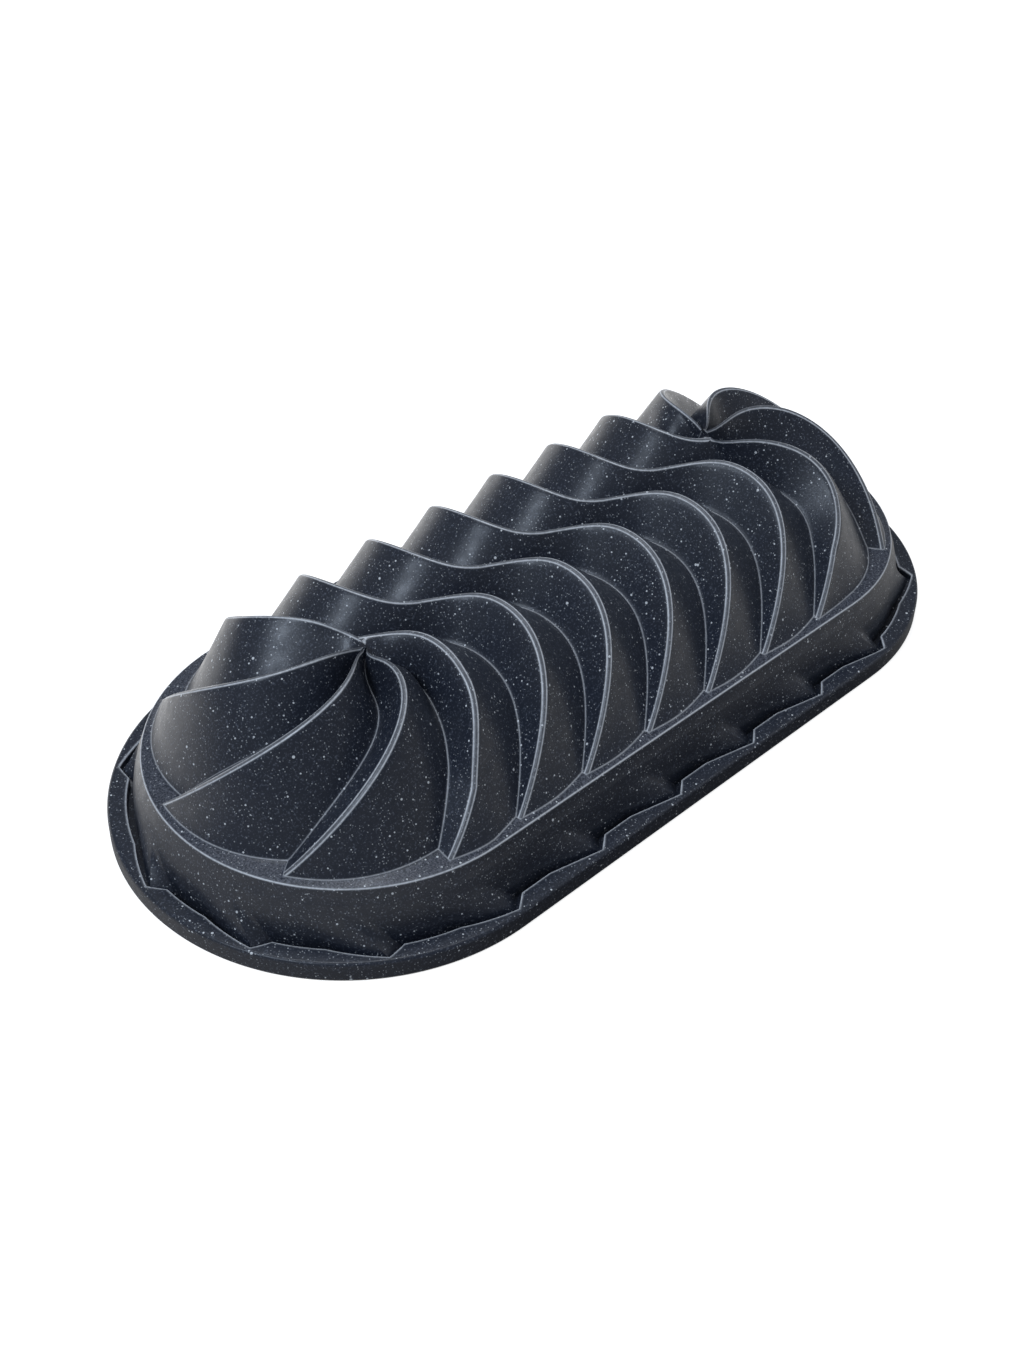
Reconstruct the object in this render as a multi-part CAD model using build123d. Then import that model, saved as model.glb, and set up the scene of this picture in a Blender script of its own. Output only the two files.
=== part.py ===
"""Loaf-shaped fluted cake pan in cast aluminium, lying upside down on its rim.

+X runs along the pan, +Z is up, and the origin is the centre of the rim plane.
The pan is one casting with a stone-effect coat baked onto its outside. Each skin of the pan,
from the outermost inwards, bounds a closed solid that stands on the rim plane, and each
layer is the space between two neighbouring skins.
"""

from build123d import *

import math
import os

import numpy as np

# Driving dimensions, in millimetres and degrees.
RIM_RADIUS = 74.0            # half width of the pan, and radius of its round ends
STRAIGHT_HALF = 81.0         # half length of the straight sides
RIM_HEIGHT = 6.9             # height of the flange
RIM_EDGE_ROUND = 1.2         # rounding of the flange's upper edge
FLANGE_WIDTH = 6.6           # from the rim's edge to the foot of the band
BAND_DRAFT = 4.9             # how far the band leans inwards up to the ledge
BAND_RISE = 18.2             # height of the band
LEDGE_WIDTH = 2.9            # from the ledge's edge to the foot of the ridge crests
VALLEY_STEP = 5.2            # how far the valleys stand back from the crests at the ledge
SIDE_VALLEY_GAIN = 3.8       # how much less they stand back on the straight sides
CREST_RISE = 38.5            # ridge crests above the ledge
VALLEY_RISE = 24.5           # valleys above the ledge
SADDLE_DEPTH = 3.3           # dip of the crests along the middle of the pan
APEX_OFFSET = 5.5            # pinwheel centres, sideways of the middle of the pan
SPINE_DRAW = 0.045           # share by which the ridges' starts close up towards the middle
APEX_STAY = 0.3              # share of that closing up which the pinwheel centres don't follow
APEX_BLEND = 0.5             # reach of that offset into the first and last end tooth, in teeth
FACE_SWELL = 1.6             # swell of a tooth's wide face at the ledge
WALL = 3.2                   # casting and coat together
COAT = 0.35                  # thickness of the coat
SEAT_LAND = 0.5              # bare casting that shows below the coat round the rim
NOTCH_DEPTH = 3.6            # pockets in the flange's upper face
NOTCH_LAND = 2.0             # flange left outside a pocket's tip
NOTCH_FLARE = 18.0           # length of a pocket's slanted side
NOTCH_STEP = 5.0             # length of its short side
SIDE_NOTCHES = 6             # pockets along a straight side
SIDE_NOTCH_FIRST = 0.9       # how far the first tip stands before the straight side starts
SIDE_NOTCH_LAST = 8.1        # how far the last tip stands past its end
END_NOTCH_ANGLES = (-48.0, -5.5, 26.0, 57.0)

SLIP = 0.6                   # share of an inset by which steep faces move along the loop

# Sizes that follow from them.
BAND_FOOT_RADIUS = RIM_RADIUS - FLANGE_WIDTH
LEDGE_RADIUS = BAND_FOOT_RADIUS - BAND_DRAFT
LEDGE_HEIGHT = RIM_HEIGHT + BAND_RISE
CREST_FOOT_RADIUS = LEDGE_RADIUS - LEDGE_WIDTH
VALLEY_FOOT_RADIUS = CREST_FOOT_RADIUS - VALLEY_STEP

# Ridges: a loop round the pan is a whole number of teeth.
SIDE_TEETH = 6
END_TEETH = 4
HALF_LOOP = SIDE_TEETH + END_TEETH
TOOTH_PITCH = 2.0 * STRAIGHT_HALF / SIDE_TEETH
SIDE_LEAD = 0.62             # how far a ridge runs ahead of its start, in teeth
SIDE_LAG = 1.20              # how far it falls back towards the ledge, in teeth
END_LEAD = 1.11
END_LAG = 1.42
VALLEY_START = 0.50          # place of the valley between two crests, at the top
VALLEY_DRIFT = 0.10
VALLEY_SWEEP = 0.33
CREST_SOFTNESS = 0.70
VALLEY_SOFTNESS = 0.35

# Each tooth is two patches, crest to valley and valley to crest.
FACE_DEGREE = 7
FALL_DEGREE = 12
SKIRT = 4.0                  # how far a dome reaches below its ledge, into the band


def ramp(value: float) -> float:
    """Smooth step from 0 to 1."""
    value = min(max(value, 0.0), 1.0)
    return value * value * (3.0 - 2.0 * value)


def end_share(loop: float, fall: float) -> float:
    """How much of the round ends' swirl a place on the loop has."""
    place = loop % HALF_LOOP
    low = ramp((fall - 0.5) / 0.4)
    if place < 0.8:
        return (1.0 - ramp(place / 0.8)) * low
    if place <= SIDE_TEETH:
        return 0.0
    if place < SIDE_TEETH + 0.8:
        return ramp((place - SIDE_TEETH) / 0.8)
    if place > HALF_LOOP - 0.8:
        return 1.0 - ramp((place - HALF_LOOP + 0.8) / 0.8) * (1.0 - low)
    return 1.0


def swirl(loop: float, fall: float) -> float:
    """Lead of a ridge over its start, in teeth, at a fall from the top (0) to the ledge (1)."""
    side = SIDE_LEAD * (1.0 - math.exp(-fall / 0.145)) - SIDE_LAG * fall**4.53
    end = END_LEAD * (1.0 - math.exp(-fall / 0.10)) - END_LAG * fall**1.9
    share = end_share(loop, fall)
    return side + (end - side) * share


def valley_place(fall: float) -> float:
    """Place of the valley between two crests, as a share of a tooth."""
    drift = VALLEY_DRIFT * (1.0 - math.exp(-fall / 0.1))
    return VALLEY_START + drift + VALLEY_SWEEP * fall**4


def rounding(first: float, second: float, softness: float) -> float:
    """What a rounded corner between two lines takes off their meeting point."""
    overlap = max(softness - abs(first - second), 0.0) / softness
    return 0.25 * softness * overlap * overlap


def tooth_height(place: float, valley: float) -> float:
    """Height of a tooth's section: 1 on the crests, 0 in the valley, both rounded."""
    fall_line = 1.0 - place / valley
    rise_line = (place - valley) / (1.0 - valley)
    last_rise = 1.0 + place / (1.0 - valley)
    next_fall = 1.0 + (1.0 - place) / valley
    height = max(fall_line, rise_line) + rounding(fall_line, rise_line, VALLEY_SOFTNESS)
    height -= rounding(fall_line, last_rise, CREST_SOFTNESS)
    height -= rounding(rise_line, next_fall, CREST_SOFTNESS)
    floor = 0.25 * VALLEY_SOFTNESS
    top = 1.0 - 0.25 * CREST_SOFTNESS
    return (height - floor) / (top - floor)


def spine_draw(start: float, fall: float) -> tuple[float, float]:
    """How far a ridge's start is drawn along the spine, or across to a pinwheel centre."""
    half, place = divmod(start, HALF_LOOP)
    side = 1.0 if half % 2 == 0 else -1.0
    inside = ramp((place - SIDE_TEETH) / APEX_BLEND) * ramp((HALF_LOOP - place) / APEX_BLEND)
    along = min(TOOTH_PITCH * place - STRAIGHT_HALF, STRAIGHT_HALF)
    near = side * (1.0 - fall) ** 2
    return -near * along * SPINE_DRAW * (1.0 - APEX_STAY * inside), near * APEX_OFFSET * inside


def loop_point(loop: float, radius: float) -> tuple[float, float]:
    """Plan position at a distance from the pan's middle line."""
    half, place = divmod(loop, HALF_LOOP)
    turn = 1.0 if half % 2 == 0 else -1.0
    if place < SIDE_TEETH:
        centre = -STRAIGHT_HALF + TOOTH_PITCH * place
        angle = -math.pi / 2.0
    else:
        centre = STRAIGHT_HALF
        angle = -math.pi / 2.0 + math.pi * (place - SIDE_TEETH) / END_TEETH
    return turn * (centre + radius * math.cos(angle)), turn * radius * math.sin(angle)


def dome_point(tooth: int, place: float, fall: float, inset: float, slip: float = 0.0) -> Vector:
    """Point of the fluted dome, at a place from 0 to 1 across a tooth."""
    valley = valley_place(fall)
    height = tooth_height(place, valley)
    at_end = tooth % HALF_LOOP >= SIDE_TEETH
    if at_end:
        height = 1.0 + (height - 1.0) * (1.0 - math.exp(-fall / 0.07))
    crest_z = CREST_RISE * (1.0 - fall**3.77) ** 1.06 - SADDLE_DEPTH * math.exp(-((fall / 0.17) ** 2))
    valley_z = VALLEY_RISE * (1.0 - fall**4.08) ** 1.19
    crest_radius = CREST_FOOT_RADIUS * fall
    valley_radius = VALLEY_FOOT_RADIUS * fall + (0.0 if at_end else SIDE_VALLEY_GAIN * fall**8)
    swell = FACE_SWELL * fall**8 * max(0.0, math.sin(math.pi * min(1.0, place / valley)))
    radius = valley_radius + (crest_radius - valley_radius) * height + swell - inset * fall**2
    z = LEDGE_HEIGHT + valley_z + (crest_z - valley_z) * height - inset
    loop = tooth + place + swirl(tooth + place, fall) + slip / TOOTH_PITCH
    x, y = loop_point(loop, radius)
    along, across = spine_draw(tooth + place, fall)
    return Vector(x + along, y + across, z)


def face_lean(tooth: int, place: float, fall: float) -> float:
    """How much a place faces forwards along the loop: 1 forwards, 0 up or outwards, -1 back."""
    step = 1e-4
    ahead = (tooth, place + step) if place + step < 1.0 else (tooth + 1, place + step - 1.0)
    behind = (tooth, place - step) if place > step else (tooth - 1, place - step + 1.0)
    across = dome_point(*ahead, fall, 0.0) - dome_point(*behind, fall, 0.0)
    down = dome_point(tooth, place, min(fall + step, 1.0), 0.0) - dome_point(tooth, place, fall - step, 0.0)
    forward = dome_point(tooth, place, fall, 0.0, step) - dome_point(tooth, place, fall, 0.0, -step)
    if across.length * down.length * forward.length == 0.0:
        return 0.0
    return down.cross(across).normalized().dot(forward.normalized())


def inset_point(tooth: int, place: float, fall: float, inset: float) -> Vector:
    """Point of the dome of a skin that lies inside the outer one."""
    if inset == 0.0 or fall == 0.0:
        return dome_point(tooth, place, fall, inset)
    share = SLIP * ramp((fall - 0.1) / 0.3) * (1.0 - 0.5 * ramp((fall - 0.8) / 0.2))
    return dome_point(tooth, place, fall, inset, -share * inset * face_lean(tooth, place, fall))


def nodes(degree: int) -> np.ndarray:
    """Places along a patch, from 0 to 1 and closer together near both ends."""
    return 0.5 - 0.5 * np.cos(np.pi * np.arange(degree + 1) / degree)


def bernstein(degree: int) -> np.ndarray:
    """Weights of a Bezier curve's poles at its nodes."""
    places = nodes(degree)
    columns = [math.comb(degree, k) * places**k * (1.0 - places) ** (degree - k) for k in range(degree + 1)]
    return np.stack(columns, axis=1)


def tooth_face(tooth: int, rising: bool, inset: float) -> Face:
    """One face of a tooth, a Bezier patch through its own points."""
    rows = []
    for fall in nodes(FALL_DEGREE):
        valley = valley_place(fall)
        first, last = (valley, 1.0) if rising else (0.0, valley)
        places = [first + (last - first) * share for share in nodes(FACE_DEGREE)]
        rows.append([tuple(inset_point(tooth, place, fall, inset)) for place in places])
    points = np.array(rows)
    poles = np.einsum("ij,jkc->ikc", np.linalg.inv(bernstein(FALL_DEGREE)), points)
    poles = np.einsum("ij,kjc->kic", np.linalg.inv(bernstein(FACE_DEGREE)), poles)
    return Face.make_bezier_surface([[Vector(*pole) for pole in row] for row in poles])


def dome(inset: float) -> Solid:
    """Closed fluted dome: two faces for each tooth, a skirt and a flat floor."""
    faces = [tooth_face(tooth, rising, inset) for tooth in range(2 * HALF_LOOP) for rising in (False, True)]
    skin = Shell(Face.sew_faces(faces)[0])
    foot_z = LEDGE_HEIGHT - inset
    foot_edges = [edge for edge in skin.edges() if abs(edge.center().Z - foot_z) < 0.01 and edge.length > 0.1]
    foot = Wire(foot_edges)
    skirt = [Face.extrude(edge, (0, 0, -SKIRT)) for edge in foot.edges()]
    floor = Face(foot.moved(Location((0, 0, -SKIRT))))
    shells = Face.sew_faces(skin.faces() + skirt + [floor])
    return Solid(Shell(shells[0]))


def stadium(radius: float, height: float) -> Sketch:
    """Outline of the pan at a distance from its middle line."""
    outline = SlotOverall(2.0 * (STRAIGHT_HALF + radius), 2.0 * radius)
    return Location((0, 0, height)) * outline


def band(inset: float, bottom: float) -> Part:
    """Tapered wall below the ledge, closed."""
    slope = (BAND_FOOT_RADIUS - LEDGE_RADIUS) / (LEDGE_HEIGHT - RIM_HEIGHT)
    top = LEDGE_HEIGHT - inset
    foot_radius = LEDGE_RADIUS + slope * (top - bottom) - inset
    return loft([stadium(foot_radius, bottom).face(), stadium(LEDGE_RADIUS - inset, top).face()])


def notch_corners() -> list[list[tuple[float, float]]]:
    """Corners of half of the pockets: along the straight side, then round the end."""
    inner = BAND_FOOT_RADIUS - 1.0
    outer = RIM_RADIUS - NOTCH_LAND
    pitch = (2.0 * STRAIGHT_HALF + SIDE_NOTCH_FIRST + SIDE_NOTCH_LAST) / (SIDE_NOTCHES - 1)
    corners = []
    for number in range(SIDE_NOTCHES):
        tip = number * pitch - STRAIGHT_HALF - SIDE_NOTCH_FIRST
        corners.append([(tip - NOTCH_FLARE, -inner), (tip, -outer), (tip + NOTCH_STEP, -inner)])
    for angle in END_NOTCH_ANGLES:
        turns = [angle - math.degrees(NOTCH_FLARE / outer), angle, angle + math.degrees(NOTCH_STEP / outer)]
        corners.append([
            (
                STRAIGHT_HALF + radius * math.cos(math.radians(turn)),
                radius * math.sin(math.radians(turn)),
            )
            for turn, radius in zip(turns, (inner, outer, inner))
        ])
    return corners


def flange(inset: float, bottom: float) -> Part:
    """Flange with its ring of pockets, closed below the band."""
    top = RIM_HEIGHT - inset
    plate = extrude(stadium(RIM_RADIUS - inset, bottom), top - bottom)
    rim = plate.faces().sort_by(Axis.Z)[-1].edges()
    plate = fillet(rim, RIM_EDGE_ROUND - inset)
    for corners in notch_corners():
        outline = make_face(Polyline(*corners, close=True))
        outline = offset(outline, amount=inset, kind=Kind.INTERSECTION) if inset else outline
        floor = RIM_HEIGHT - NOTCH_DEPTH - inset
        pocket = extrude(Location((0, 0, floor)) * outline, NOTCH_DEPTH + 2.0)
        plate -= pocket
        plate -= pocket.rotate(Axis.Z, 180.0)
    return plate


def outer_skin(inset: float, bottom: float) -> Part:
    """Closed solid inside an outer skin of the pan."""
    return flange(inset, bottom) + band(inset, bottom) + dome(inset)


def inner_skin(inset: float, bottom: float) -> Part:
    """Closed solid inside a skin of the cavity."""
    return band(inset, bottom) + dome(inset)


def layer(outside: Part, inside: Part) -> Solid:
    """Closed solid between two skins that stand on the same level."""
    walls = []
    feet = []
    for skin in (outside, inside):
        faces = skin.faces().sort_by(Axis.Z)
        feet.append(faces[0].outer_wire())
        walls += faces[1:]
    ring = Face(feet[0], [feet[1]])
    return Solid(Shell(Face.sew_faces(walls + [ring])[0]))


def build_layers() -> dict[str, Solid]:
    """The casting and the coat on its outside."""
    return {
        "cast_body": layer(outer_skin(COAT, 0.0), inner_skin(WALL, 0.0)),
        "exterior_granite_coating": layer(outer_skin(0.0, SEAT_LAND), outer_skin(COAT, SEAT_LAND)),
    }


if __name__ == "__main__":
    os.makedirs("parts", exist_ok=True)
    for name, solid in build_layers().items():
        print(name, len(solid.solids()), round(solid.volume), solid.is_valid)
        export_step(solid, f"parts/{name}.step")
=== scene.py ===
"""Cast loaf bundt pan, upside down on its rim: looks, lights and camera.

Sizes are in millimetres, and each node tree writes metres at its end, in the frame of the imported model.
"""

from __future__ import annotations

import logging
import math
from dataclasses import dataclass, fields
from enum import Enum
from types import SimpleNamespace

import bpy
from mathutils import Matrix, Vector

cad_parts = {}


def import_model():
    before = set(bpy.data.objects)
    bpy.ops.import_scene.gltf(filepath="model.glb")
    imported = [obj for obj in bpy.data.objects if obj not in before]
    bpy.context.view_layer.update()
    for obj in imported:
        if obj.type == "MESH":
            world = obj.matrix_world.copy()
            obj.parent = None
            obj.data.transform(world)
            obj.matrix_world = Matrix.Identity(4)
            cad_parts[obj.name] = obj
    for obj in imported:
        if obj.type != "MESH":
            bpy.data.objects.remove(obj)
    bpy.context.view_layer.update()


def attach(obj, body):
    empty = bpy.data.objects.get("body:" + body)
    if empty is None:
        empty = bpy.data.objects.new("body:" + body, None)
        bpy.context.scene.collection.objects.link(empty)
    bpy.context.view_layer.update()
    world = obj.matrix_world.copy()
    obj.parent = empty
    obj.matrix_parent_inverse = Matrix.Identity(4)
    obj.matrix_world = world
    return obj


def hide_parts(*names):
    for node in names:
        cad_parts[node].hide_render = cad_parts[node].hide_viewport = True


LOG = logging.getLogger("bundt_pan")
MM = 0.001
FAR = 99.0  # distance given to places that have no line near them, in millimetres

Colour = tuple[float, float, float, float]

WHITE: Colour = (1.0, 1.0, 1.0, 1.0)


class Finish(Enum):
    """Finishes of the pan's surfaces."""

    GRANITE = "granite_coat"
    NON_STICK = "non_stick"
    BARE = "bare_aluminium"


@dataclass(frozen=True)
class PanSizes:
    """Driving sizes of the pan, in millimetres."""

    rim_radius: float = 74.0
    straight_half: float = 81.0
    rim_height: float = 6.9
    rim_edge_round: float = 1.2
    band_foot_radius: float = 67.4
    ledge_radius: float = 62.5
    ledge_height: float = 25.1
    crest_foot_radius: float = 59.6
    valley_foot_radius: float = 54.4
    side_valley_gain: float = 3.8
    crest_rise: float = 38.5
    valley_rise: float = 24.5
    saddle_depth: float = 3.3
    apex_offset: float = 5.5
    spine_draw: float = 0.045
    apex_stay: float = 0.3
    face_swell: float = 1.6
    wall: float = 3.2
    seat_land: float = 0.5


class Value:
    """Socket of a node tree: arithmetic on it adds Math nodes."""

    def __init__(self, nodes: "NodeTree", socket: bpy.types.NodeSocket) -> None:
        """Wrap an output socket."""
        self.nodes = nodes
        self.socket = socket

    def _math(self, operation: str, *numbers: "Value | float") -> "Value":
        """Add a Math node on the given numbers."""
        return self.nodes.node("ShaderNodeMath", {"operation": operation}, dict(enumerate(numbers)))

    def __add__(self, other: "Value | float") -> "Value":
        """Sum."""
        return self._math("ADD", self, other)

    __radd__ = __add__

    def __sub__(self, other: "Value | float") -> "Value":
        """Difference."""
        return self._math("SUBTRACT", self, other)

    def __rsub__(self, other: float) -> "Value":
        """Difference, with the value second."""
        return self._math("SUBTRACT", other, self)

    def __mul__(self, other: "Value | float") -> "Value":
        """Product."""
        return self._math("MULTIPLY", self, other)

    __rmul__ = __mul__

    def __truediv__(self, other: "Value | float") -> "Value":
        """Quotient."""
        return self._math("DIVIDE", self, other)

    def __pow__(self, other: "Value | float") -> "Value":
        """Power."""
        return self._math("POWER", self, other)

    def __neg__(self) -> "Value":
        """Value with the other sign."""
        return self * -1.0

    def above(self, other: "Value | float") -> "Value":
        """1 where the value is above another."""
        return self._math("GREATER_THAN", self, other)

    def at_least(self, other: "Value | float") -> "Value":
        """Larger of two values."""
        return self._math("MAXIMUM", self, other)

    def at_most(self, other: "Value | float") -> "Value":
        """Smaller of two values."""
        return self._math("MINIMUM", self, other)

    def whole(self) -> "Value":
        """Whole number below the value."""
        return self._math("FLOOR", self)

    def rest(self, step: "Value | float") -> "Value":
        """What is left over whole steps."""
        return self._math("FLOORED_MODULO", self, step)

    def size(self) -> "Value":
        """Value without its sign."""
        return self._math("ABSOLUTE", self)

    def sine(self) -> "Value":
        """Sine of an angle in radians."""
        return self._math("SINE", self)

    def cosine(self) -> "Value":
        """Cosine of an angle in radians."""
        return self._math("COSINE", self)

    def exponential(self) -> "Value":
        """The number e to this power."""
        return self._math("EXPONENT", self)

    def clamped(self) -> "Value":
        """Value kept between 0 and 1."""
        return self.nodes.node("ShaderNodeClamp", {}, {0: self})

    def output(self, name: str) -> "Value":
        """Another output of the same node."""
        return Value(self.nodes, self.socket.node.outputs[name])


class NodeTree:
    """Node tree of any kind."""

    def __init__(self, tree: bpy.types.NodeTree) -> None:
        """Start from a tree and empty it."""
        self.tree = tree
        self.tree.nodes.clear()

    def node(self, kind: str, settings: dict, inputs: dict, output: int | str = 0) -> Value:
        """Add a node.

        Args:
            kind: type of the node.
            settings: properties, which are set before its sockets.
            inputs: values or links of its sockets, by number or name.
            output: socket that is given back.

        Returns:
            The wrapped output.
        """
        made = self.tree.nodes.new(kind)
        for key, setting in settings.items():
            setattr(made, key, setting)
        for key, given in inputs.items():
            if isinstance(given, Value):
                self.tree.links.new(given.socket, made.inputs[key])
            else:
                made.inputs[key].default_value = given
        return Value(self, made.outputs[output])

    def end(self, kind: str, given: Value, key: int | str) -> None:
        """Link a value to the tree's closing node."""
        made = self.tree.nodes.new(kind)
        self.tree.links.new(given.socket, made.inputs[key])


def ramp(value: Value) -> Value:
    """Smooth step from 0 to 1."""
    kept = value.clamped()
    return kept * kept * (3.0 - 2.0 * kept)


def closer_to_ends(share: Value) -> Value:
    """Place from 0 to 1 that moves slowly near both ends."""
    return 0.5 - 0.5 * (share * math.pi).cosine()


def fading(value: Value, reach: float) -> Value:
    """1 at nought, which dies away over a reach."""
    return (-value / reach).exponential()


def rounding(first: Value, second: Value, softness: float) -> Value:
    """What a rounded corner between two lines takes off their meeting point."""
    overlap = (softness - (first - second).size()).at_least(0.0) / softness
    return overlap * overlap * (0.25 * softness)


class ShapeTree(NodeTree):
    """Geometry Nodes tree that builds one piece from named inputs."""

    def __init__(self, name: str) -> None:
        """Make the tree with its input and output."""
        super().__init__(bpy.data.node_groups.new(name, "GeometryNodeTree"))
        self.name = name
        self.given: dict[str, object] = {}
        for way in ("INPUT", "OUTPUT"):
            self.tree.interface.new_socket("Geometry", in_out=way, socket_type="NodeSocketGeometry")
        self.entry = self.tree.nodes.new("NodeGroupInput")

    def input(self, name: str, given: object, kind: str = "NodeSocketFloat") -> Value:
        """Add a named input with the value that the modifier will give it."""
        socket = self.tree.interface.new_socket(name, in_out="INPUT", socket_type=kind)
        self.given[socket.identifier] = given
        return Value(self, self.entry.outputs[name])

    def sizes(self, sizes: PanSizes) -> SimpleNamespace:
        """Add an input for each of the pan's sizes."""
        names = [field.name for field in fields(sizes)]
        return SimpleNamespace(**{
            name: self.input(name.replace("_", " ").capitalize(), getattr(sizes, name)) for name in names
        })

    def grid(self, columns: int, rows: int) -> tuple[Value, Value, Value]:
        """Add a grid of points.

        Args:
            columns: points along the loop.
            rows: points down each column.

        Returns:
            The mesh, and each point's column and row.
        """
        sockets = {
            "Vertices X": self.input("Columns", columns, "NodeSocketInt"),
            "Vertices Y": self.input("Rows", rows, "NodeSocketInt"),
        }
        mesh = self.node("GeometryNodeMeshGrid", {}, sockets)
        index = self.node("GeometryNodeInputIndex", {}, {})
        column = ((index + 0.5) / sockets["Vertices Y"]).whole()
        return mesh, column, index - column * sockets["Vertices Y"]

    def pick(self, row: Value, options: list[Value | float]) -> Value:
        """Option whose number is the row's."""
        made = self.tree.nodes.new("GeometryNodeIndexSwitch")
        made.data_type = "FLOAT"
        while len(made.index_switch_items) < len(options):
            made.index_switch_items.new()
        self.tree.links.new((row + 0.25).socket, made.inputs[0])
        for number, option in enumerate(options, start=1):
            if isinstance(option, Value):
                self.tree.links.new(option.socket, made.inputs[number])
            else:
                made.inputs[number].default_value = option
        return Value(self, made.outputs[0])

    def sample(self, name: str, index: Value) -> Value:
        """Attribute of the tree's incoming points, by their number."""
        field = self.node("GeometryNodeInputNamedAttribute", {"data_type": "FLOAT"}, {"Name": name})
        return self.node(
            "GeometryNodeSampleIndex",
            {"data_type": "FLOAT", "domain": "POINT"},
            {"Geometry": Value(self, self.entry.outputs["Geometry"]), "Value": field, "Index": index + 0.25},
        )

    def set_place(self, mesh: Value, x: Value, y: Value, z: Value) -> Value:
        """Move the points to places in millimetres."""
        place = self.node("ShaderNodeCombineXYZ", {}, {0: x * MM, 1: y * MM, 2: z * MM})
        return self.node("GeometryNodeSetPosition", {}, {"Geometry": mesh, "Position": place})

    def vector(self, operation: str, first: Value, second: Value, output: int | str = 0) -> Value:
        """Add a Vector Math node."""
        return self.node("ShaderNodeVectorMath", {"operation": operation}, {0: first, 1: second}, output)

    def line_distance(self, on_line: Value, before: Value, after: Value) -> Value:
        """Distance in millimetres from a line of points, square to the line.

        Args:
            on_line: number of the line's point that faces this one.
            before: number of the line's point before it.
            after: number of the line's point after it.

        Returns:
            The distance.
        """
        place = self.node("GeometryNodeInputPosition", {}, {})
        near, back, ahead = (
            self.node(
                "GeometryNodeFieldAtIndex",
                {"data_type": "FLOAT_VECTOR", "domain": "POINT"},
                {"Index": number + 0.25, "Value": place},
            )
            for number in (on_line, before, after)
        )
        along = self.vector("NORMALIZE", self.vector("SUBTRACT", ahead, back), place)
        square = self.vector("CROSS_PRODUCT", self.vector("SUBTRACT", place, near), along)
        return self.vector("LENGTH", square, place, "Value") / MM

    def store(self, mesh: Value, name: str, value: Value | float) -> Value:
        """Keep a value on the points as a named attribute."""
        settings = {"data_type": "FLOAT", "domain": "POINT"}
        return self.node("GeometryNodeStoreNamedAttribute", settings, {0: mesh, "Name": name, "Value": value})

    def make(
        self,
        mesh: Value,
        material: bpy.types.Material,
        start: bpy.types.Mesh | None = None,
        crisp: float = 180.0,
    ) -> bpy.types.Object:
        """Close the tree and turn its result into a plain mesh.

        Args:
            mesh: shaped grid.
            material: finish of the piece.
            start: points that the tree reads, where it follows a path.
            crisp: angle in degrees past which an edge stays sharp.

        Returns:
            The new object, with no modifier left on it.
        """
        finish = self.input("Finish", material, "NodeSocketMaterial")
        closed = self.node("GeometryNodeMergeByDistance", {}, {"Geometry": mesh, "Distance": 0.01 * MM})
        smooth = self.node("GeometryNodeSetShadeSmooth", {}, {0: closed})
        angle = self.node("GeometryNodeInputMeshEdgeAngle", {}, {}, "Unsigned Angle")
        sharp = angle.above(self.input("Crisp angle", math.radians(crisp)))
        chosen = {0: smooth, "Selection": sharp, "Shade Smooth": False}
        edged = self.node("GeometryNodeSetShadeSmooth", {"domain": "EDGE"}, chosen)
        real = self.node("GeometryNodeRealizeInstances", {}, {0: edged})
        dressed = self.node("GeometryNodeSetMaterial", {}, {0: real, "Material": finish})
        self.end("NodeGroupOutput", dressed, 0)
        piece = bpy.data.objects.new(self.name, start or bpy.data.meshes.new(self.name))
        bpy.context.collection.objects.link(piece)
        modifier = piece.modifiers.new(self.name, "NODES")
        modifier.node_group = self.tree
        for identifier, given in self.given.items():
            modifier[identifier] = given
        scene = bpy.context.evaluated_depsgraph_get()
        shaped = bpy.data.meshes.new_from_object(
            piece.evaluated_get(scene), preserve_all_data_layers=True, depsgraph=scene
        )
        piece.modifiers.remove(modifier)
        piece.data = shaped
        LOG.info("%s: %d faces", self.name, len(shaped.polygons))
        return piece


def band_slope(sizes: SimpleNamespace) -> Value:
    """How far the band leans out for each millimetre down."""
    return (sizes.band_foot_radius - sizes.ledge_radius) / (sizes.ledge_height - sizes.rim_height)


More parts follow.
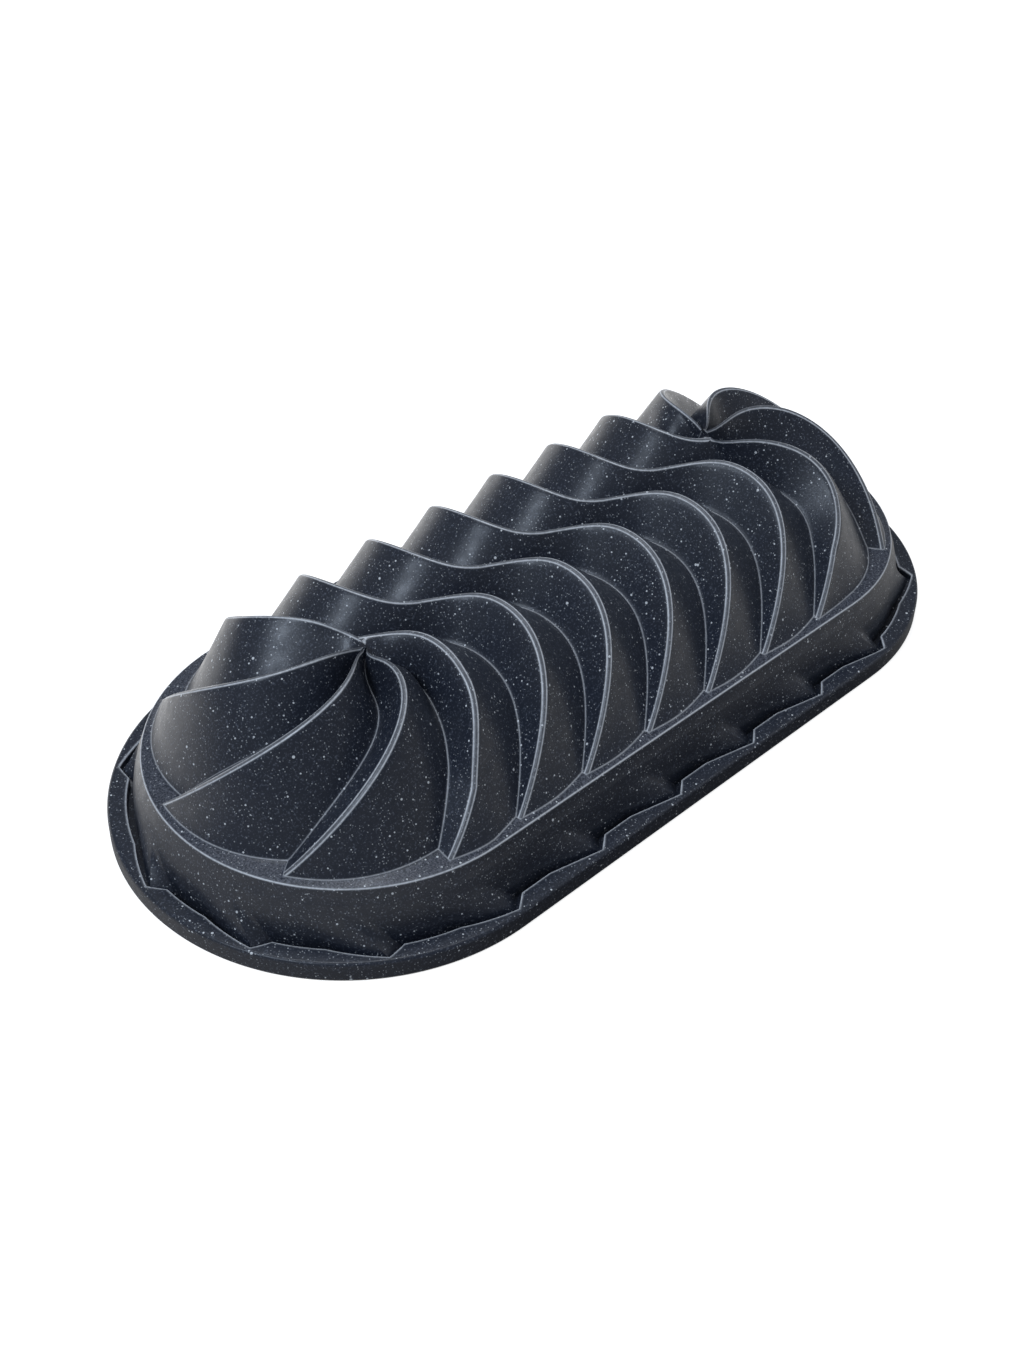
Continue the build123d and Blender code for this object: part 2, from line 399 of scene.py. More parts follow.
@dataclass
class FlutedDome:
    """Rule of the crown's shape: ridges that swirl out of two pinwheel centres."""

    sizes: SimpleNamespace
    side_teeth: int = 6
    end_teeth: int = 4
    side_lead: float = 0.62
    side_lag: float = 1.20
    end_lead: float = 1.11
    end_lag: float = 1.42
    turn_over: float = 0.8
    apex_blend: float = 0.5
    valley_start: float = 0.50
    valley_drift: float = 0.12
    valley_sweep: float = 0.365
    crest_softness: float = 0.30
    valley_softness: float = 0.13

    @property
    def half_loop(self) -> int:
        """Teeth in half a turn round the pan."""
        return self.side_teeth + self.end_teeth

    def end_share(self, loop: Value, fall: Value) -> Value:
        """How much of the round ends' swirl a place on the loop has."""
        place = loop.rest(self.half_loop)
        low = ramp((fall - 0.5) / 0.4)
        leaving = (1.0 - ramp(place / self.turn_over)) * low
        entering = ramp((place - self.side_teeth) / self.turn_over)
        closing = 1.0 - ramp((place - self.half_loop) / self.turn_over + 1.0) * (1.0 - low)
        return leaving + entering * closing

    def swirl(self, loop: Value, fall: Value) -> Value:
        """Lead of a ridge over its start, in teeth."""
        side = self.side_lead * (1.0 - fading(fall, 0.145)) - self.side_lag * fall**4.53
        end = self.end_lead * (1.0 - fading(fall, 0.10)) - self.end_lag * fall**1.9
        return side + (end - side) * self.end_share(loop, fall)

    def valley_place(self, fall: Value) -> Value:
        """Place of the valley between two crests, as a share of a tooth."""
        return self.valley_start + self.valley_drift * (1.0 - fading(fall, 0.1)) + self.valley_sweep * fall**4

    def tooth_height(self, place: Value, valley: Value) -> Value:
        """Height of a tooth's section: 1 on the crests and 0 in the valley."""
        fall_line = 1.0 - place / valley
        rise_line = (place - valley) / (1.0 - valley)
        last_rise = 1.0 + place / (1.0 - valley)
        next_fall = 1.0 + (1.0 - place) / valley
        height = fall_line.at_least(rise_line) + rounding(fall_line, rise_line, self.valley_softness)
        height = height - rounding(fall_line, last_rise, self.crest_softness)
        height = height - rounding(rise_line, next_fall, self.crest_softness)
        floor = 0.25 * self.valley_softness
        top = 1.0 - 0.25 * self.crest_softness
        return (height - floor) / (top - floor)

    def points(self, tooth: Value, place: Value, fall: Value, inset: Value) -> tuple[Value, Value, Value]:
        """Points of the dome.

        Args:
            tooth: number of the tooth.
            place: place within the tooth, from 0 to 1.
            fall: place from the top (0) to the ledge (1).
            inset: distance in from the outer skin.

        Returns:
            Place on the loop in teeth, distance from the pan's middle line, and height.
        """
        sizes = self.sizes
        valley = self.valley_place(fall)
        at_end = tooth.rest(self.half_loop).above(self.side_teeth - 0.5)
        height = 1.0 + (self.tooth_height(place, valley) - 1.0) * (1.0 - at_end * fading(fall, 0.07))
        dip = sizes.saddle_depth * (-((fall / 0.17) ** 2.0)).exponential()
        crest_z = sizes.crest_rise * (1.0 - fall**3.77).at_least(0.0) ** 1.06 - dip
        valley_z = sizes.valley_rise * (1.0 - fall**4.08).at_least(0.0) ** 1.19
        crest_radius = sizes.crest_foot_radius * fall
        valley_radius = sizes.valley_foot_radius * fall + (1.0 - at_end) * sizes.side_valley_gain * fall**8.0
        swell = sizes.face_swell * fall**8.0 * ((place / valley).at_most(1.0) * math.pi).sine()
        radius = valley_radius + (crest_radius - valley_radius) * height + swell - inset * fall * fall
        z = sizes.ledge_height + valley_z + (crest_z - valley_z) * height - inset
        return tooth + place + self.swirl(tooth + place, fall), radius, z

    def spine_draw(self, start: Value, fall: Value) -> tuple[Value, Value]:
        """How far a ridge's start is drawn along the spine, or across to a pinwheel centre."""
        sizes = self.sizes
        half = (start / self.half_loop).whole()
        place = start - half * self.half_loop
        inside = ramp((place - self.side_teeth) / self.apex_blend)
        inside = inside * ramp((self.half_loop - place) / self.apex_blend)
        along = (sizes.straight_half * (place * (2.0 / self.side_teeth) - 1.0)).at_most(sizes.straight_half)
        near = (1.0 - 2.0 * half.rest(2.0)) * (1.0 - fall) ** 2.0
        drawn = along * sizes.spine_draw * (1.0 - sizes.apex_stay * inside)
        return -near * drawn, near * sizes.apex_offset * inside

    def plan(self, loop: Value, radius: Value) -> tuple[Value, Value]:
        """Plan position at a distance from the pan's middle line."""
        sizes = self.sizes
        half = (loop / self.half_loop).whole()
        place = loop - half * self.half_loop
        turn = 1.0 - 2.0 * half.rest(2.0)
        centre = (sizes.straight_half * (place * (2.0 / self.side_teeth) - 1.0)).at_most(sizes.straight_half)
        angle = (place - self.side_teeth).at_least(0.0) * (math.pi / self.end_teeth) - math.pi / 2.0
        return turn * (centre + radius * angle.cosine()), turn * radius * angle.sine()


@dataclass
class FlutedCrown:
    """Dome, ledge and the top of the band, as one skin."""

    sizes: PanSizes
    name: str
    inset: float = 0.0
    fall_columns: int = 22
    rise_columns: int = 14
    dome_rows: int = 84
    ledge_rows: int = 4
    round_rows: int = 6
    ledge_fall: float = 0.6
    ledge_round: float = 1.0
    band_depth: float = 4.0
    gap_reach: float = 0.03
    gap_width: float = 2.0
    edge_thinning: float = 1.6

    @property
    def foot(self) -> float:
        """Height at which this skin ends on the band."""
        return self.sizes.ledge_height - self.inset - self.ledge_fall - self.ledge_round - self.band_depth

    def build(self, material: bpy.types.Material) -> bpy.types.Object:
        """Build the skin from the top of the dome down to the band."""
        tree = ShapeTree(self.name)
        sizes = tree.sizes(self.sizes)
        inset = tree.input("Inset", self.inset)
        edge_round = tree.input("Ledge round", self.ledge_round)
        band_depth = tree.input("Band depth", self.band_depth)
        dome = FlutedDome(sizes)
        per_tooth = self.fall_columns + self.rise_columns
        columns = 2 * dome.half_loop * per_tooth + 1
        rows = self.dome_rows + self.ledge_rows + self.round_rows + 2
        mesh, column, row = tree.grid(columns, rows)
        tooth = ((column + 0.5) / per_tooth).whole()
        local = column - tooth * per_tooth
        fall = closer_to_ends((row / self.dome_rows).clamped())
        valley = dome.valley_place(fall)
        first = closer_to_ends((local / self.fall_columns).clamped())
        second = closer_to_ends(((local - self.fall_columns) / self.rise_columns).clamped())
        place = valley * first + (1.0 - valley) * second
        loop, radius, z = dome.points(tooth, place, fall, inset)
        beyond = (row - self.dome_rows).at_least(0.0)
        out = (beyond / self.ledge_rows).clamped()
        turn = ((beyond - self.ledge_rows) / self.round_rows).clamped() * (math.pi / 2.0)
        drop = (beyond - (self.ledge_rows + self.round_rows)).clamped()
        slope = band_slope(sizes)
        ledge_edge = sizes.ledge_radius - inset - edge_round
        radius = radius + (ledge_edge - radius) * out + edge_round * turn.sine()
        radius = radius + slope * drop * (self.ledge_fall + edge_round + band_depth)
        z = z - self.ledge_fall * out - edge_round * (1.0 - turn.cosine()) - drop * band_depth
        x, y = dome.plan(loop, radius)
        along, across = dome.spine_draw(tooth + place, fall)
        mesh = tree.set_place(mesh, x + along, y + across, z)
        if self.inset == 0.0:
            mesh = self.mark_lines(tree, mesh, column, row, rows, per_tooth)
            mesh = tree.node("GeometryNodeFlipFaces", {}, {0: mesh})
        return tree.make(mesh, material)

    def mark_lines(
        self, tree: ShapeTree, mesh: Value, column: Value, row: Value, rows: int, per_tooth: int
    ) -> Value:
        """Keep each point's distance from the lines that the finish paints pale, as painted highlights and
        worn coat.

        Args:
            tree: tree to add to.
            mesh: shaped grid.
            column: each point's column.
            row: each point's row.
            rows: rows of the grid.
            per_tooth: columns of a tooth.

        Returns:
            The mesh with its attributes.
        """
        tooth = ((column + 0.5) / per_tooth).whole()
        above = (row - 1.0).at_least(0.0)
        below = (row + 1.0).at_most(float(self.dome_rows))
        half = FlutedDome.side_teeth + FlutedDome.end_teeth
        last = 2 * half
        fall = closer_to_ends((row / self.dome_rows).clamped())
        apex_gap = (1.0 - ramp(fall / self.gap_reach)) * self.gap_width
        off_dome = row.above(self.dome_rows + 0.5) * FAR

        def from_column(line: Value, number: Value) -> Value:
            """Distance from a column of points, whose line fades out at a pinwheel centre."""
            start = line * rows
            gap = apex_gap * number.rest(float(half)).above(FlutedDome.side_teeth + 0.5)
            return tree.line_distance(start + row, start + above, start + below) + gap + off_dome

        def from_row(line: float) -> Value:
            """Distance from a row of points."""
            before = (column - 1.0).at_least(0.0)
            after = (column + 1.0).at_most(float(last * per_tooth))
            return tree.line_distance(column * rows + line, before * rows + line, after * rows + line)

        following = (tooth + 1.0).at_most(last)
        crest = from_column(tooth * per_tooth, tooth).at_most(from_column(following * per_tooth, following))
        valley = from_column((tooth * per_tooth + self.fall_columns).at_most(last * per_tooth), tooth + 1.0)
        foot = from_row(float(self.dome_rows))
        edge = from_row(float(self.dome_rows + self.ledge_rows + self.round_rows // 2)) * self.edge_thinning
        on_ledge = row.above(self.dome_rows + 0.5) * (self.dome_rows + self.ledge_rows + 1.5 - row).above(0.0)
        marks = {"crest": crest, "valley": valley, "foot": foot, "edge": edge, "ledge": on_ledge}
        for key, value in marks.items():
            mesh = tree.store(mesh, key, value)
        return mesh


@dataclass
class RimPath:
    """Path round the rim, with the ring of pockets that opens and closes along it."""

    sizes: PanSizes
    notch_land: float = 2.0
    flare: float = 18.0
    step: float = 5.0
    side_notches: int = 6
    first_before: float = 0.9
    last_past: float = 8.1
    end_angles: tuple[float, ...] = (-48.0, -5.5, 26.0, 57.0)
    spacing: float = 1.2

    @property
    def radius(self) -> float:
        """Distance of the pockets' tips from the pan's middle line."""
        return self.sizes.rim_radius - self.notch_land

    @property
    def half_length(self) -> float:
        """Length of half of the path."""
        return 2.0 * self.sizes.straight_half + math.pi * self.radius

    def tips(self) -> list[float]:
        """Distances of half of the pockets' tips, from the start of a straight side."""
        side = 2.0 * self.sizes.straight_half
        pitch = (side + self.first_before + self.last_past) / (self.side_notches - 1)
        along = [number * pitch - self.first_before for number in range(self.side_notches)]
        return along + [side + math.radians(angle + 90.0) * self.radius for angle in self.end_angles]

    def knots(self) -> list[tuple[float, float]]:
        """Distances at which a pocket starts, is widest and ends, with its opening there."""
        found = []
        for half in (0.0, self.half_length):
            for tip in self.tips():
                found += [(half + tip - self.flare, 0.0), (half + tip, 1.0), (half + tip + self.step, 0.0)]
        found.sort()
        return found + [(found[0][0] + 2.0 * self.half_length, found[0][1])]

    def points(self) -> bpy.types.Mesh:
        """Points along the path that carry their distance and the pockets' opening."""
        knots = self.knots()
        places = []
        for (start, start_open), (stop, stop_open) in zip(knots, knots[1:]):
            count = max(2, round((stop - start) / self.spacing))
            shares = [number / count for number in range(count)]
            places += [
                (start + (stop - start) * share, start_open + (stop_open - start_open) * share)
                for share in shares
            ]
        places.append(knots[-1])
        mesh = bpy.data.meshes.new("rim_path")
        mesh.from_pydata([(distance * MM, 0.0, 0.0) for distance, _ in places], [], [])
        for key, column in (("distance", 0), ("opening", 1)):
            layer = mesh.attributes.new(key, "FLOAT", "POINT")
            layer.data.foreach_set("value", [place[column] for place in places])
        return mesh

    def plan(self, tree: ShapeTree, distance: Value, radius: Value) -> tuple[Value, Value]:
        """Plan position at a distance along the path and one from the pan's middle line."""
        half_length = tree.input("Half length", self.half_length)
        straight = tree.input("Path straight half", self.sizes.straight_half)
        half = (distance / half_length).whole()
        rest = distance - half * half_length
        turn = 1.0 - 2.0 * half.rest(2.0)
        centre = (rest - straight).at_most(straight)
        angle = (rest - 2.0 * straight).at_least(0.0) / self.radius - math.pi / 2.0
        return turn * (centre + radius * angle.cosine()), turn * radius * angle.sine()


@dataclass
class Station:
    """Point of a profile: its radius, its height, and how far it lags along the path."""

    radius: Value | float
    height: Value | float
    lag: float = 0.0


@dataclass
class RimBand:
    """Lower band and flange with its ring of pockets, as one skin."""

    sizes: PanSizes
    top: float
    band_shares: tuple[float, ...] = (0.0, 0.12, 0.25, 0.38, 0.5, 0.62, 0.74, 0.86, 0.94, 1.0)
    lip_steps: int = 4
    edge_steps: int = 6
    notch_depth: float = 3.6
    groove_width: float = 0.7
    facet_start: float = 0.25
    facet_bulge: float = 3.2
    facet_recess: float = 2.4
    facet_curve: float = 1.4
    facet_lag: float = 14.0
    floor_rise: float = 0.45
    crisp_angle: float = 28.0
    lip_round: float = 0.45

    @property
    def lip_row(self) -> int:
        """Row of the profile on the lip's rounding."""
        return len(self.band_shares) + 1 + self.lip_steps // 2

    @property
    def rows(self) -> int:
        """Points of the profile."""
        return len(self.band_shares) + self.lip_steps + self.edge_steps + 7

    def band_stations(self, sizes: SimpleNamespace, opening: Value, floor: Value) -> list[Station]:
        """Facets of the band, which swell towards each pocket's tip and step back after it."""
        slope = band_slope(sizes)
        reach = opening * (self.facet_bulge + self.facet_recess) - self.facet_recess
        stations = []
        for share in self.band_shares:
            height = self.top + (floor - self.top) * share
            grown = max((share - self.facet_start) / (1.0 - self.facet_start), 0.0) ** self.facet_curve
            radius = sizes.ledge_radius + slope * (sizes.ledge_height - height) + reach * grown
            stations.append(Station(radius, height, self.facet_lag * (1.0 - share)))
        return stations

    def flange_stations(self, sizes: SimpleNamespace, lip: Value, floor: Value) -> list[Station]:
        """Pocket floor, lip, top of the flange and its outer edge."""
        height = sizes.rim_height
        soft = self.lip_round
        stations = [Station(lip - 0.1, floor + 0.02), Station(lip, height - soft)]
        for number in range(1, self.lip_steps + 1):
            turn = 0.5 * math.pi * number / self.lip_steps
            out, down = soft * (1.0 - math.cos(turn)), soft * (1.0 - math.sin(turn))
            stations.append(Station(lip + out, height - down))
        edge = sizes.rim_edge_round
        stations.append(Station(0.5 * (lip + sizes.rim_radius - edge), height))
        for number in range(self.edge_steps + 1):
            turn = 0.5 * math.pi * number / self.edge_steps
            radius = sizes.rim_radius - edge * (1.0 - math.sin(turn))
            stations.append(Station(radius, height - edge * (1.0 - math.cos(turn))))
        stations.append(Station(sizes.rim_radius, 3.0))
        stations.append(Station(sizes.rim_radius, sizes.seat_land + 0.3))
        stations.append(Station(sizes.rim_radius - 0.3, sizes.seat_land))
        return stations

    def build(self, name: str, material: bpy.types.Material) -> bpy.types.Object:
        """Build the skin from the band down to the flange's lower edge."""
        path = RimPath(self.sizes)
        start = path.points()
        count = len(start.vertices)
        tree = ShapeTree(name)
        sizes = tree.sizes(self.sizes)
        depth = tree.input("Pocket depth", self.notch_depth)
        width = tree.input("Pocket width", path.radius - self.sizes.band_foot_radius)
        mesh, column, row = tree.grid(count, self.rows)
        opening = tree.sample("opening", column)
        floor = sizes.rim_height - depth * (1.0 - self.floor_rise * opening)
        lip = sizes.band_foot_radius + self.groove_width + (width - self.groove_width) * opening
        stations = self.band_stations(sizes, opening, floor) + self.flange_stations(sizes, lip, floor)
        radius = tree.pick(row, [station.radius for station in stations])
        height = tree.pick(row, [station.height for station in stations])
        lag = tree.pick(row, [station.lag for station in stations])
        x, y = path.plan(tree, tree.sample("distance", column) - lag, radius)
        mesh = tree.set_place(mesh, x, y, height)
        before = (column - 1.0).at_least(0.0)
        after = (column + 1.0).at_most(count - 1.0)
        edge = tree.line_distance(*(place * self.rows + self.lip_row for place in (column, before, after)))
        for key, value in {"crest": FAR, "valley": FAR, "foot": FAR, "edge": edge, "ledge": 0.0}.items():
            mesh = tree.store(mesh, key, value)
        return tree.make(mesh, material, start, crisp=self.crisp_angle)


@dataclass
class RimSeat:
    """Flat seat under the rim and the lower wall of the cavity."""

    sizes: PanSizes
    top: float
    columns: int = 360
    mouth_round: float = 1.0
    mouth_steps: int = 5

    def build(self, name: str, material: bpy.types.Material) -> bpy.types.Object:
        """Build the skin from the flange's lower edge up into the cavity."""
        path = RimPath(self.sizes)
        tree = ShapeTree(name)
        sizes = tree.sizes(self.sizes)
        slope = band_slope(sizes)
        inner = sizes.ledge_radius - sizes.wall
        mouth = inner + slope * (sizes.ledge_height - sizes.wall)
        stations = [
            Station(sizes.rim_radius - 0.32, sizes.seat_land + 0.4),
            Station(sizes.rim_radius - 0.35, 0.12),
            Station(sizes.rim_radius - 0.50, 0.0),
            Station(0.5 * (sizes.rim_radius + mouth), 0.0),
        ]
        soft = self.mouth_round
        for number in range(self.mouth_steps + 1):
            turn = 0.5 * math.pi * number / self.mouth_steps
            stations.append(Station(mouth + soft * (1.0 - math.sin(turn)), soft * (1.0 - math.cos(turn))))
        stations.append(Station(inner + slope * (sizes.ledge_height - sizes.wall - self.top), self.top))
        mesh, column, row = tree.grid(self.columns + 1, len(stations))
        radius = tree.pick(row, [station.radius for station in stations])
        height = tree.pick(row, [station.height for station in stations])
        distance = column * (2.0 * path.half_length / self.columns)
        x, y = path.plan(tree, distance, radius)
        return tree.make(tree.set_place(mesh, x, y, height), material)


class Material(NodeTree):
    """Node tree of one finish."""

    def __init__(self, name: str) -> None:
        """Make a material with an empty tree."""
        self.material = bpy.data.materials.new(name)
        self.material.use_nodes = True
        super().__init__(self.material.node_tree)

    def attribute(self, name: str) -> Value:
        """Value of a mesh attribute."""
        return self.node("ShaderNodeAttribute", {"attribute_name": name}, {}, "Fac")

    def place(self) -> Value:
        """Object coordinates."""
        return self.node("ShaderNodeTexCoord", {}, {}, "Object")

    def noise(self, scale: float, detail: float = 3.0) -> Value:
        """Noise on object coordinates."""
        return self.node("ShaderNodeTexNoise", {}, {"Vector": self.place(), "Scale": scale, "Detail": detail})

    def mix(self, share: Value | float, first: Colour | Value, second: Colour | Value) -> Value:
        """Blend of two colours."""
        return self.node("ShaderNodeMix", {"data_type": "RGBA"}, {0: share, 6: first, 7: second}, 2)

    def bump(self, height: Value, strength: float) -> Value:
        """Normals of a fine relief."""
        inputs = {"Strength": strength, "Distance": 0.1 * MM, "Height": height}
        return self.node("ShaderNodeBump", {}, inputs)

    def finish(self, colour: Value, roughness: Value, normal: Value, fixed: dict) -> bpy.types.Material:
        """Close the tree with one surface shader."""
        inputs = {"Base Color": colour, "Roughness": roughness, "Normal": normal, **fixed}
        shader = self.node("ShaderNodeBsdfPrincipled", {}, inputs)
        self.end("ShaderNodeOutputMaterial", shader, "Surface")
        return self.material


def line(distance: Value, width: float) -> Value:
    """Mask of a soft line: 1 on it, and dying away over its width."""
    return (-((distance / width) ** 2.0)).exponential()


@dataclass(frozen=True)
class GraniteCoat:
    """Dark blue-black enamel with pale specks; its pale lines along ridges, creases and the lip are painted
    highlights of small roundings, partly worn coat.
    """

    ground: Colour = (0.014, 0.021, 0.040, 1.0)
    ground_warm: Colour = (0.024, 0.028, 0.039, 1.0)
    grain: Colour = (0.120, 0.138, 0.180, 1.0)
    # Paler colour of the ledge: partly the coat's grain, partly a painted sheen.
    ledge_sheen_and_grain: Colour = (0.170, 0.185, 0.230, 1.0)
    speck: Colour = (0.80, 0.84, 0.88, 1.0)
    rub: Colour = (0.72, 0.75, 0.80, 1.0)
    roughness: float = 0.36
    crest_land: float = 0.70
    crest_line: float = 0.22
    crease_line: float = 0.22
    edge_line: float = 0.40

    def specks(self, tree: Material, scale: float, size: float, share: float) -> Value:
        """Mask of round specks.

        Args:
            tree: tree to add to.
            scale: cells for each metre.
            size: radius of a speck, as a share of its cell.
            share: share of the cells that hold one.

        Returns:
            1 inside a speck.
        """
        cells = tree.node("ShaderNodeTexVoronoi", {}, {"Vector": tree.place(), "Scale": scale}, "Distance")
        draw = tree.node("ShaderNodeSeparateColor", {}, {0: cells.output("Color")})
        return ((size - cells) * (5.0 / size)).clamped() * draw.above(1.0 - share)

    def rubbed(self, tree: Material) -> Value:
        """Mask of the pale lines: two along each crest, one in each crease; they are painted highlights,
        partly worn coat.
        """
        # Painted highlights, partly worn coat: the crest pair and its land, the creases, the ledge foot and
        # the pocket lip.
        crest = tree.attribute("crest")
        pair = line(crest - self.crest_land, self.crest_line) * 1.0
        land = (self.crest_land - crest).above(0.0) * 0.16
        valley = line(tree.attribute("valley"), self.crease_line) * 0.50
        foot = line(tree.attribute("foot"), self.crease_line) * 0.60
        edge = line(tree.attribute("edge"), self.edge_line) * 1.2
        line_patchiness = tree.noise(900.0, 3.0) * 1.1 + 0.35
        return ((pair + land).at_least(valley).at_least(foot).at_least(edge) * line_patchiness).clamped()

    def make(self) -> bpy.types.Material:
        """Build the material."""
        tree = Material(Finish.GRANITE.value)
        ground = tree.mix(tree.noise(60.0), self.ground, self.ground_warm)
        salt = ((tree.noise(1700.0, 4.0) - 0.55) * 7.0).clamped()
        ledge = tree.attribute("ledge")
        ground = tree.mix((salt * 0.85).clamped(), ground, self.grain)
        # Noisy paler band on the ledge: partly the coat's grain, partly a painted sheen where the ledge
        # catches light.
        ledge_sheen_noise = ((tree.noise(1900.0, 3.0) - 0.42) * 4.0).clamped()
        ground = tree.mix(ledge * ledge_sheen_noise * 0.75, ground, self.ledge_sheen_and_grain)
        big = self.specks(tree, 300.0, 0.14, 0.10)
        middle = self.specks(tree, 600.0, 0.19, 0.16)
        fine = self.specks(tree, 1300.0, 0.26, 0.30)
        mask = (big + middle + fine * 0.5).clamped()
        speckled = tree.mix(mask, ground, self.speck)
        # Pale lines painted into the colour: painted highlights along crests, creases and the lip, partly
        # worn coat.
        colour = tree.mix(self.rubbed(tree), speckled, self.rub)
        roughness = tree.noise(260.0, 4.0) * 0.30 + (self.roughness - 0.15)
        relief = tree.bump(tree.noise(1500.0, 3.0) + mask * 0.4, 0.45)
        return tree.finish(colour, roughness, relief, {"Specular IOR Level": 0.5})


@dataclass(frozen=True)
class NonStick:
    """Dark satin film inside the cavity."""

    colour: Colour = (0.035, 0.036, 0.040, 1.0)
    lighter: Colour = (0.055, 0.056, 0.060, 1.0)

    def make(self) -> bpy.types.Material:
        """Build the material."""
        tree = Material(Finish.NON_STICK.value)
        colour = tree.mix(tree.noise(120.0), self.colour, self.lighter)
        relief = tree.bump(tree.noise(1800.0), 0.15)
        return tree.finish(colour, tree.noise(400.0) * 0.12 + 0.32, relief, {})


@dataclass(frozen=True)
class BareAluminium:
    """Ground metal of the seat under the rim, with fine grinding marks, below the cavity's film."""

    colour: Colour = (0.55, 0.55, 0.56, 1.0)
    darker: Colour = (0.38, 0.38, 0.40, 1.0)
    film: Colour = (0.045, 0.046, 0.050, 1.0)
    film_start: float = 0.2

    def make(self) -> bpy.types.Material:
        """Build the material."""
        tree = Material(Finish.BARE.value)
        marks = tree.noise(900.0, 4.0)
        height = tree.node("ShaderNodeSeparateXYZ", {}, {0: tree.place()}, "Z") / MM
        covered = ramp(height - self.film_start)
        colour = tree.mix(covered, tree.mix(marks, self.colour, self.darker), self.film)
        return tree.finish(colour, marks * 0.2 + 0.3, tree.bump(marks, 0.2), {"Metallic": 1.0 - covered})


@dataclass(frozen=True)
class Lamp:
    """Soft rectangular light that faces the pan."""

    name: str
    place: tuple[float, float, float]
    width: float
    height: float
    power: float
    colour: tuple[float, float, float]

    def build(self) -> None:
        """Add the light."""
        data = bpy.data.lights.new(self.name, "AREA")
        data.shape = "RECTANGLE"
        data.size = self.width
        data.size_y = self.height
        data.energy = self.power
        data.color = self.colour
        lamp = bpy.data.objects.new(self.name, data)
        lamp.location = self.place
        lamp.rotation_euler = (Vector((0.0, 0.0, 0.03)) - lamp.location).to_track_quat("-Z", "Y").to_euler()
        bpy.context.collection.objects.link(lamp)


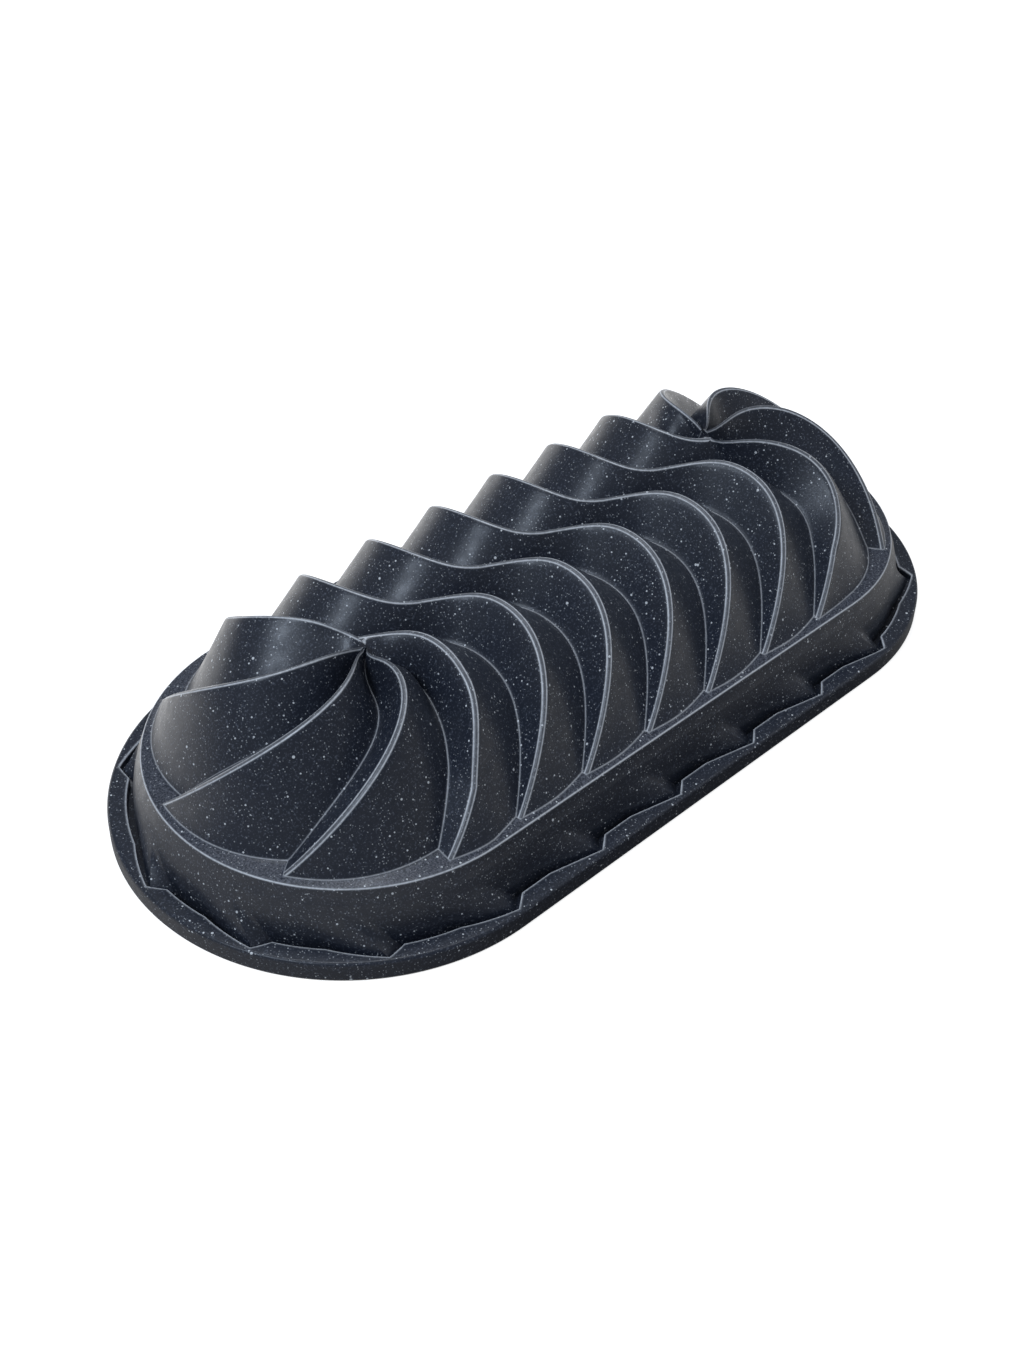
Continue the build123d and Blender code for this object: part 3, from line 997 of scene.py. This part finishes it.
@dataclass
class Studio:
    """Camera, lights, floor and background."""

    azimuth: float = -45.24
    elevation: float = 39.84
    roll: float = 1.34
    distance: float = 0.6047
    shift_right: float = 0.01059
    shift_up: float = -0.00006
    lens: float = 64.70
    world_light: float = 0.24
    lamps: tuple[Lamp, ...] = (
        Lamp("backdrop", (0.15, 1.7, 0.16), 2.0, 0.30, 2.0, (1.0, 1.0, 1.0)),
        Lamp("left", (-0.92, -0.05, 1.04), 0.42, 0.35, 5.0, (0.74, 0.85, 1.0)),
        Lamp("overhead", (0.10, 0.25, 1.25), 0.5, 0.4, 3.5, (0.88, 0.93, 1.0)),
        Lamp("right", (1.0, -0.9, 0.9), 0.8, 0.5, 1.2, (0.97, 0.98, 1.0)),
    )

    def camera(self) -> None:
        """Place the camera."""
        azimuth = math.radians(self.azimuth)
        elevation = math.radians(self.elevation)
        back = Vector((
            math.sin(azimuth) * math.cos(elevation),
            -math.cos(azimuth) * math.cos(elevation),
            math.sin(elevation),
        ))
        level = Vector((0.0, 0.0, 1.0)).cross(back).normalized()
        above = back.cross(level)
        turn = math.radians(self.roll)
        right = level * math.cos(turn) + above * math.sin(turn)
        up = above * math.cos(turn) - level * math.sin(turn)
        place = back * self.distance - right * self.shift_right - up * self.shift_up
        data = bpy.data.cameras.new("camera")
        data.sensor_fit = "HORIZONTAL"
        data.sensor_width = 36.0
        data.lens = self.lens
        data.clip_start = 0.01
        camera = bpy.data.objects.new("camera", data)
        camera.matrix_world = Matrix((
            (right.x, up.x, back.x, place.x),
            (right.y, up.y, back.y, place.y),
            (right.z, up.z, back.z, place.z),
            (0.0, 0.0, 0.0, 1.0),
        ))
        bpy.context.collection.objects.link(camera)
        bpy.context.scene.camera = camera

    def world(self) -> None:
        """White background for the camera, dimmer soft light for the rest."""
        world = bpy.data.worlds.new("studio")
        bpy.context.scene.world = world
        world.use_nodes = True
        tree = NodeTree(world.node_tree)
        seen = tree.node("ShaderNodeLightPath", {}, {}, "Is Camera Ray")
        dim = {"Color": (0.90, 0.94, 1.0, 1.0), "Strength": self.world_light}
        soft = tree.node("ShaderNodeBackground", {}, dim)
        white = tree.node("ShaderNodeBackground", {}, {"Color": WHITE, "Strength": 1.0})
        mixed = tree.node("ShaderNodeMixShader", {}, {0: seen, 1: soft, 2: white})
        tree.end("ShaderNodeOutputWorld", mixed, "Surface")

    def floor(self) -> None:
        """White floor on which the rim stands, with the pan's faint shadow; seen in reflections it glows,
        brighter behind the pan and in a ring round it.
        """
        reach = 6.0
        corners = [(x * reach, y * reach, -0.2 * MM) for x, y in ((-1, -1), (1, -1), (1, 1), (-1, 1))]
        mesh = bpy.data.meshes.new("floor")
        mesh.from_pydata(corners, [], [(0, 1, 2, 3)])
        tree = Material("floor")
        seen = tree.node("ShaderNodeLightPath", {}, {}, "Is Camera Ray")
        paper = tree.node("ShaderNodeBsdfDiffuse", {}, {"Color": (0.9, 0.9, 0.9, 1.0)})
        glow = tree.node("ShaderNodeEmission", {}, {"Color": WHITE, "Strength": 0.80})
        lit = tree.node("ShaderNodeAddShader", {}, {0: paper, 1: glow})
        dull = tree.node("ShaderNodeEmission", {}, {"Color": (0.94, 0.97, 1.0, 1.0), "Strength": 0.16})
        away = tree.node("ShaderNodeVectorMath", {"operation": "LENGTH"}, {0: tree.place()}, "Value")
        across = tree.node("ShaderNodeSeparateXYZ", {}, {0: tree.place()}, "Y")
        # Seen only by reflection rays, the floor glows brighter in a ring round the pan and behind it: a
        # placed glow that paints the pan's reflections.
        around = ramp((away - 0.10) / 0.12) * (1.0 - ramp((away - 0.40) / 0.40)) * 0.85
        behind = ramp((across - 0.02) / 0.06) * 1.4
        shine_inputs = {"Color": WHITE, "Strength": behind.at_least(around) + 0.06}
        shine = tree.node("ShaderNodeEmission", {}, shine_inputs)
        glossy = seen.output("Is Glossy Ray")
        unseen = tree.node("ShaderNodeMixShader", {}, {0: glossy, 1: dull, 2: shine})
        mixed = tree.node("ShaderNodeMixShader", {}, {0: seen, 1: unseen, 2: lit})
        below = tree.node("ShaderNodeNewGeometry", {}, {}, "Backfacing")
        clear = tree.node("ShaderNodeBsdfTransparent", {}, {})
        sided = tree.node("ShaderNodeMixShader", {}, {0: below, 1: mixed, 2: clear})
        tree.end("ShaderNodeOutputMaterial", sided, "Surface")
        mesh.materials.append(tree.material)
        floor = bpy.data.objects.new("floor", mesh)
        bpy.context.collection.objects.link(floor)

    def build(self) -> None:
        """Set up the whole studio."""
        self.camera()
        self.world()
        self.floor()
        for lamp in self.lamps:
            lamp.build()
        scene = bpy.context.scene
        scene.view_settings.view_transform = "Standard"
        scene.render.resolution_x = 1020
        scene.render.resolution_y = 1360


@dataclass
class BundtPan:
    """The whole pan."""

    sizes: PanSizes

    def build(self) -> None:
        """Build, dress and attach every piece."""
        granite = GraniteCoat().make()
        film = NonStick().make()
        bare = BareAluminium().make()
        crown = FlutedCrown(self.sizes, "fluted_crown")
        lining = FlutedCrown(
            self.sizes, "cavity_lining", inset=self.sizes.wall, fall_columns=14, rise_columns=10, dome_rows=60
        )
        fluted = crown.build(granite)
        rim = RimBand(self.sizes, crown.foot).build("rim_band", granite)
        cavity = lining.build(film)
        seat = RimSeat(self.sizes, lining.foot).build("rim_seat", bare)
        granite_slot, metal_slot = "granite_coat", "cast_aluminium"
        slots = {fluted: granite_slot, rim: granite_slot, cavity: metal_slot, seat: metal_slot}
        for piece, slot in slots.items():
            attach(piece, "root")
        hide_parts("exterior_granite_coating")
        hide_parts("cast_body")


def main() -> None:
    """Build the pan and the studio."""
    logging.basicConfig(level=logging.INFO)
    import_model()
    BundtPan(PanSizes()).build()
    Studio().build()


if __name__ == "__main__":
    main()
